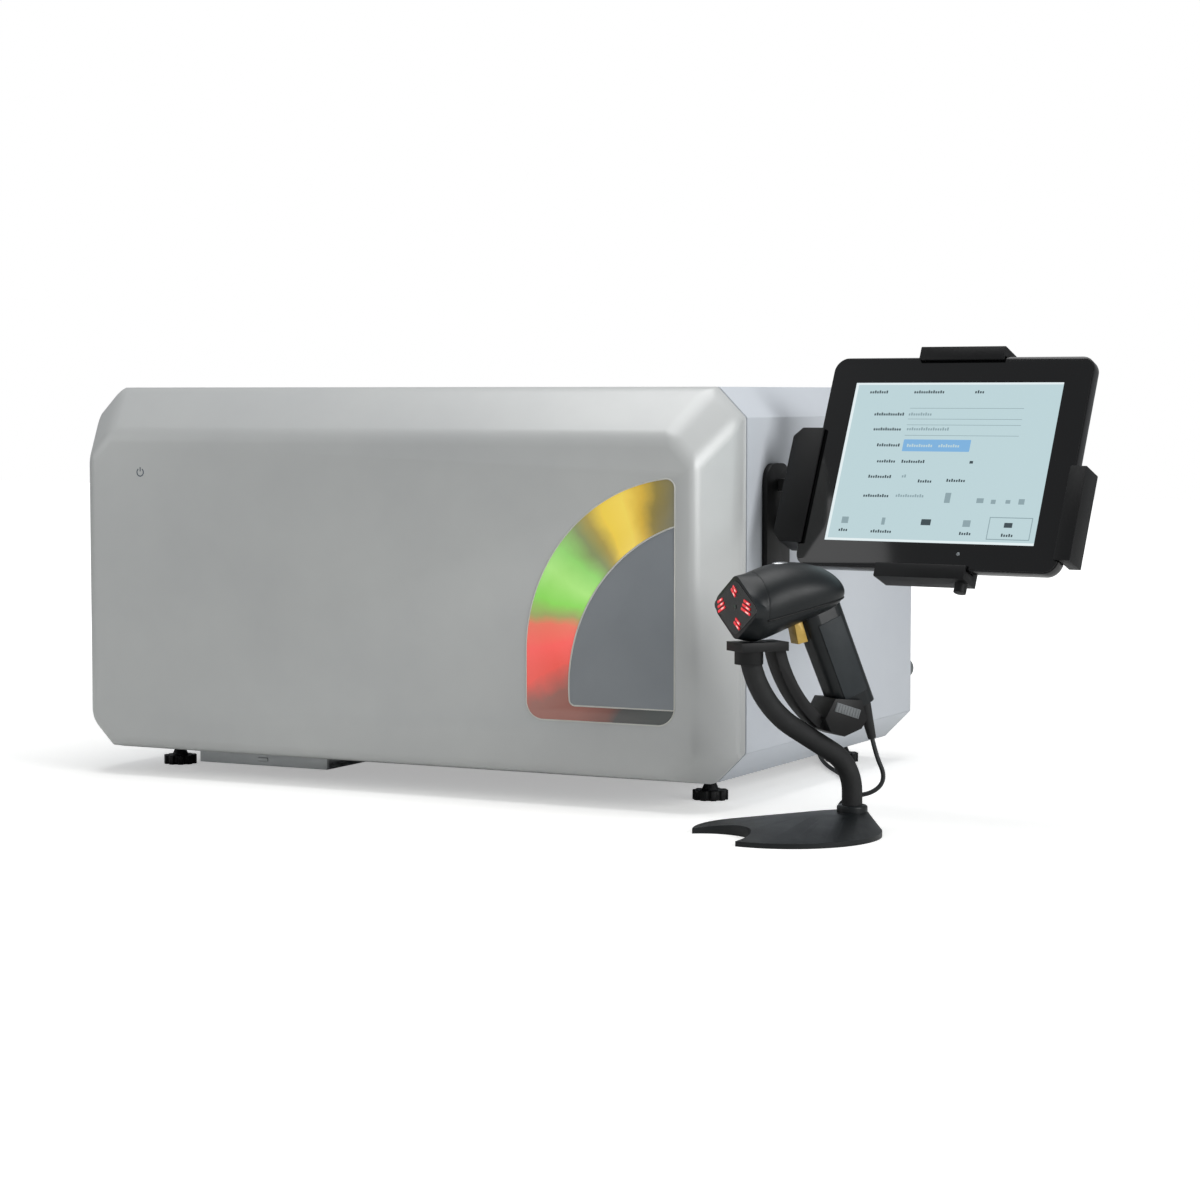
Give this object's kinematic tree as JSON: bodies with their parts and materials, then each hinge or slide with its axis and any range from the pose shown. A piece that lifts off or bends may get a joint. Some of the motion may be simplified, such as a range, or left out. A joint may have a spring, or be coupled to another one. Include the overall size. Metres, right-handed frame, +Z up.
{
  "type": "automated blood culture system",
  "caption": "Benchtop incubator whose front is a drawer with a rocking bottle rack, a lit status window, a tablet on a hinged arm and a hand scanner on a gooseneck stand.",
  "frame": {"origin": "on the bench, at the middle of the footprint of cabinet, tablet and stand without the free cord", "axes": "+X to the right as seen from the front, where the tablet and stand are, +Y to the rear of the cabinet, +Z up"},
  "size_m": [0.9268, 0.6425, 0.376],
  "materials": {
    "silver_front": "satin silver paint",
    "silver_case": "satin silver paint",
    "steel": "zinc plated",
    "aluminium": "brushed",
    "white_foam_liner": "matt",
    "black_plastic": "matt",
    "charcoal_plastic": "fine grained",
    "gloss_black": "polished",
    "grey_plastic": "matt",
    "light_window": "tinted, lit from behind",
    "slate_panel": "satin",
    "board_green": "solder mask",
    "screen_glass": "polished",
    "soft_rubber": "matt",
    "brass_trigger": "satin",
    "grey_rubber": "matt",
    "acetal": "satin",
    "silver_bezel": "satin silver paint"
  },
  "bodies": {
    "cabinet": {"base_pan": "silver_case", "outer_cover": "silver_case", "rear_panel": "silver_case", "front_frame": "grey_plastic", "chamber_liner": "white_foam_liner", "door_seal": "soft_rubber", "heater_plate": "aluminium", "fixed_rails": "steel", "rear_bumpers": "grey_rubber", "fan_frame": "black_plastic", "power_inlet": "black_plastic", "port_block": "steel", "power_supply": "steel", "main_board": "board_green", "drive_housing": "black_plastic", "wall_bracket": "black_plastic", "stand_base": "charcoal_plastic", "gooseneck": "black_plastic", "scanner_cradle": "black_plastic", "scanner_head": "charcoal_plastic", "scanner_nose": "gloss_black", "scanner_grip": "charcoal_plastic", "strain_relief": "soft_rubber", "scanner_cord": "soft_rubber", "cord_coil": "soft_rubber", "usb_plug": "black_plastic"},
    "drawer": {"drawer_front": "silver_front", "status_window": "light_window", "status_panel": "slate_panel", "status_lamps": "board_green", "drawer_inner_panel": "white_foam_liner", "drawer_tray": "steel", "drawer_rails": "steel", "rack_supports": "steel", "rocker_motor": "black_plastic"},
    "middle_slides": {"middle_rails": "steel"},
    "rack": {"rack_frame": "aluminium", "row_dividers": "grey_plastic", "cross_dividers": "grey_plastic", "rack_deck": "grey_plastic", "sensor_board": "board_green", "sector_gear": "acetal"},
    "pinion": {"motor_pinion": "steel"},
    "fan": {"fan_rotor": "black_plastic"},
    "power_switch": {"power_rocker": "black_plastic"},
    "disc_tray_body": {"disc_tray": "silver_bezel"},
    "eject": {"eject_button": "grey_plastic"},
    "arm": {"arm_link": "black_plastic"},
    "head": {"swivel_head": "black_plastic"},
    "holder": {"tablet_holder": "black_plastic", "tablet_housing": "gloss_black", "tablet_glass": "screen_glass"},
    "clamp": {"sliding_claw": "black_plastic"},
    "trigger": {"scanner_trigger": "brass_trigger"},
    "foot_front_left_body": {"foot_front_left": "black_plastic"},
    "foot_front_right_body": {"foot_front_right": "black_plastic"},
    "foot_rear_left_body": {"foot_rear_left": "black_plastic"},
    "foot_rear_right_body": {"foot_rear_right": "black_plastic"}
  },
  "joints": [
    {"name": "drawer_slide", "type": "slide", "parent": "cabinet", "child": "drawer", "axis": [0, -1, 0], "range_m": [0, 0.254]},
    {"name": "middle_slide", "type": "slide", "parent": "cabinet", "child": "middle_slides", "axis": [0, -1, 0], "range_m": [0, 0.127]},
    {"name": "rack_rock", "type": "hinge", "parent": "drawer", "child": "rack", "pos_m": [-0.14544, 0.02475, 0.1525], "axis": [1, 0, 0], "range_deg": [-20, 20]},
    {"name": "pinion_spin", "type": "hinge", "parent": "drawer", "child": "pinion", "pos_m": [-0.14544, 0.02475, 0.076], "axis": [1, 0, 0], "range_deg": [-151, 151]},
    {"name": "fan_spin", "type": "hinge", "parent": "cabinet", "child": "fan", "pos_m": [0.03456, 0.2645, 0.2], "axis": [0, 1, 0], "continuous": true},
    {"name": "power_switch_rock", "type": "hinge", "parent": "cabinet", "child": "power_switch", "pos_m": [-0.37544, 0.2645, 0.1105], "axis": [1, 0, 0], "range_deg": [-16, 0]},
    {"name": "disc_tray_slide", "type": "slide", "parent": "cabinet", "child": "disc_tray_body", "axis": [0, -1, 0], "range_m": [0, 0.11]},
    {"name": "eject_press", "type": "slide", "parent": "disc_tray_body", "child": "eject", "axis": [0, 1, 0], "range_m": [0, 0.001], "stiffness_N_per_m": 300},
    {"name": "arm_swing", "type": "hinge", "parent": "cabinet", "child": "arm", "pos_m": [0.19956, -0.043, 0.246], "axis": [0, 0, 1], "range_deg": [-8, 60]},
    {"name": "head_swivel", "type": "hinge", "parent": "arm", "child": "head", "pos_m": [0.34351, -0.04282, 0.246], "axis": [0, 0, 1], "range_deg": [-4, 20]},
    {"name": "tablet_tilt", "type": "hinge", "parent": "head", "child": "holder", "pos_m": [0.34067, -0.06665, 0.27158], "axis": [0.993, -0.1184, 0], "range_deg": [-20, 20]},
    {"name": "claw_slide", "type": "slide", "parent": "holder", "child": "clamp", "axis": [-0.993, 0.1184, 0], "range_m": [0, 0.012]},
    {"name": "trigger_pull", "type": "hinge", "parent": "cabinet", "child": "trigger", "pos_m": [0.26263, -0.21956, 0.167], "axis": [0.788, -0.6157, 0], "range_deg": [0, 7], "stiffness_Nm_per_rad": 0.15},
    {"name": "foot_front_left_turn", "type": "hinge", "parent": "cabinet", "child": "foot_front_left_body", "pos_m": [-0.41344, -0.0675, 0.02], "axis": [0, 0, 1], "continuous": true},
    {"name": "foot_front_right_turn", "type": "hinge", "parent": "cabinet", "child": "foot_front_right_body", "pos_m": [0.12256, -0.0675, 0.02], "axis": [0, 0, 1], "continuous": true},
    {"name": "foot_rear_left_turn", "type": "hinge", "parent": "cabinet", "child": "foot_rear_left_body", "pos_m": [-0.41344, 0.2215, 0.02], "axis": [0, 0, 1], "continuous": true},
    {"name": "foot_rear_right_turn", "type": "hinge", "parent": "cabinet", "child": "foot_rear_right_body", "pos_m": [0.12256, 0.2215, 0.02], "axis": [0, 0, 1], "continuous": true}
  ],
  "couplings": [
    {"joint": "middle_slide", "follows": "drawer_slide", "ratio": 0.5},
    {"joint": "pinion_spin", "follows": "rack_rock", "ratio": -7.5}
  ]
}
